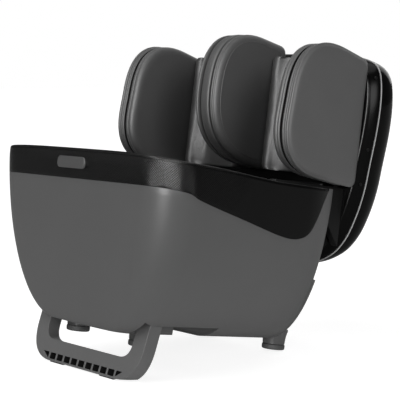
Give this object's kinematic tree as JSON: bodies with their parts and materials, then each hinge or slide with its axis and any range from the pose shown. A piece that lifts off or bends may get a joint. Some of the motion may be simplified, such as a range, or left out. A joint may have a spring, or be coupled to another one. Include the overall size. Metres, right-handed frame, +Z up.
{
  "type": "foot and calf massager",
  "caption": "Floor-standing foot and calf massager: a grey foot tub on a fold-out stand, with a black rim band and a tilting padded calf rest behind it.",
  "frame": {"origin": "on the floor, under the middle of the whole part's box", "axes": "+X to the sitter's left as they face the toe end from behind, -Y towards the toe end, +Z up from the floor"},
  "size_m": [0.4094, 0.4562, 0.466],
  "materials": {
    "shell": "satin moulded grey",
    "textured_band": "black with a fine raised diamond grain",
    "badge": "satin grey plate, left bare",
    "gloss_black": "polished black",
    "trim": "bright seam trim",
    "board": "green board",
    "metal_can": "plated motor can",
    "steel": "ground steel",
    "rubber": "soft dark rubber",
    "lining": "dark knitted lining",
    "leatherette": "grained grey leatherette",
    "grey_plastic": "satin grey moulding",
    "black_plastic": "satin black moulding"
  },
  "bodies": {
    "root": {"stand_pin_right": "steel", "stand_pin_left": "steel", "stand_bay": "black_plastic", "base_shell": "shell", "front_foot_left": "rubber", "front_foot_right": "rubber", "rear_foot_left": "rubber", "rear_foot_right": "rubber", "rim_band": "textured_band", "badge": "badge", "deck": "gloss_black", "control_panel": "gloss_black", "circuit_board": "board", "foot_liner_right": "lining", "foot_liner_left": "lining", "chassis": "black_plastic", "gearbox": "black_plastic", "front_belt": "rubber", "rear_belt": "rubber", "bearing_rail_right": "black_plastic", "bearing_rail_left": "black_plastic", "air_pump": "black_plastic", "power_supply": "black_plastic", "mains_inlet": "black_plastic", "pivot_boss_right": "black_plastic", "pivot_boss_left": "black_plastic", "pivot_pin_right": "steel", "pivot_pin_left": "steel", "drive_motor": "metal_can"},
    "calf_unit": {"tilt_ear_right": "black_plastic", "tilt_ear_left": "black_plastic", "calf_frame": "black_plastic", "kneading_motor_left": "metal_can", "kneading_motor_right": "metal_can", "seam_trim": "trim", "rear_shell": "gloss_black", "side_pad_right": "leatherette", "side_pad_left": "leatherette", "middle_pad": "leatherette", "calf_pad_right": "leatherette", "calf_pad_left": "leatherette"},
    "kneader_left": {"kneading_disc_left": "grey_plastic"},
    "kneader_right": {"kneading_disc_right": "grey_plastic"},
    "stand_frame": {"stand": "grey_plastic", "stand_strip_left": "rubber", "stand_strip_right": "rubber"},
    "drive_wheels": {"drive_pulley": "grey_plastic"},
    "front_axle": {"front_shaft": "steel", "front_roller_left": "rubber", "front_roller_right": "rubber", "front_pulley": "grey_plastic"},
    "rear_axle": {"rear_shaft": "steel", "rear_roller_left": "rubber", "rear_roller_right": "rubber", "rear_pulley": "grey_plastic"},
    "power_key_cap": {"power_key": "grey_plastic"},
    "mode_key_cap": {"mode_key": "grey_plastic"},
    "strength_key_cap": {"strength_key": "grey_plastic"},
    "heat_key_cap": {"heat_key": "grey_plastic"}
  },
  "joints": [
    {"name": "calf_tilt", "type": "hinge", "parent": "root", "child": "calf_unit", "pos_m": [0, 0.06304, 0.20723], "axis": [-1, 0, 0], "range_deg": [0, 30]},
    {"name": "stand_fold", "type": "hinge", "parent": "root", "child": "stand_frame", "pos_m": [0, -0.17111, 0.09487], "axis": [1, 0, 0], "range_deg": [0, 88]},
    {"name": "kneader_left_spin", "type": "hinge", "parent": "calf_unit", "child": "kneader_left", "pos_m": [-0.08975, 0.14897, 0.348], "axis": [0, 0.9888, -0.149], "continuous": true},
    {"name": "kneader_right_spin", "type": "hinge", "parent": "calf_unit", "child": "kneader_right", "pos_m": [0.08975, 0.14897, 0.348], "axis": [0, 0.9888, -0.149], "continuous": true},
    {"name": "rear_axle_spin", "type": "hinge", "parent": "root", "child": "rear_axle", "pos_m": [0, 0.01669, 0.06657], "axis": [1, 0, 0], "continuous": true},
    {"name": "front_axle_spin", "type": "hinge", "parent": "root", "child": "front_axle", "pos_m": [0, -0.04461, 0.0758], "axis": [1, 0, 0], "continuous": true},
    {"name": "drive_spin", "type": "hinge", "parent": "root", "child": "drive_wheels", "pos_m": [0, -0.01485, 0.06525], "axis": [1, 0, 0], "continuous": true},
    {"name": "power_key_press", "type": "slide", "parent": "root", "child": "power_key_cap", "axis": [0, -0.149, -0.9888], "range_m": [0, 0.0015], "stiffness_N_per_m": 400, "springref_m": -0.001},
    {"name": "mode_key_press", "type": "slide", "parent": "root", "child": "mode_key_cap", "axis": [0, -0.149, -0.9888], "range_m": [0, 0.0015], "stiffness_N_per_m": 400, "springref_m": -0.001},
    {"name": "strength_key_press", "type": "slide", "parent": "root", "child": "strength_key_cap", "axis": [0, -0.149, -0.9888], "range_m": [0, 0.0015], "stiffness_N_per_m": 400, "springref_m": -0.001},
    {"name": "heat_key_press", "type": "slide", "parent": "root", "child": "heat_key_cap", "axis": [0, -0.149, -0.9888], "range_m": [0, 0.0015], "stiffness_N_per_m": 400, "springref_m": -0.001}
  ],
  "couplings": [
    {"joint": "front_axle_spin", "follows": "rear_axle_spin", "ratio": 1},
    {"joint": "drive_spin", "follows": "rear_axle_spin", "ratio": 1}
  ]
}
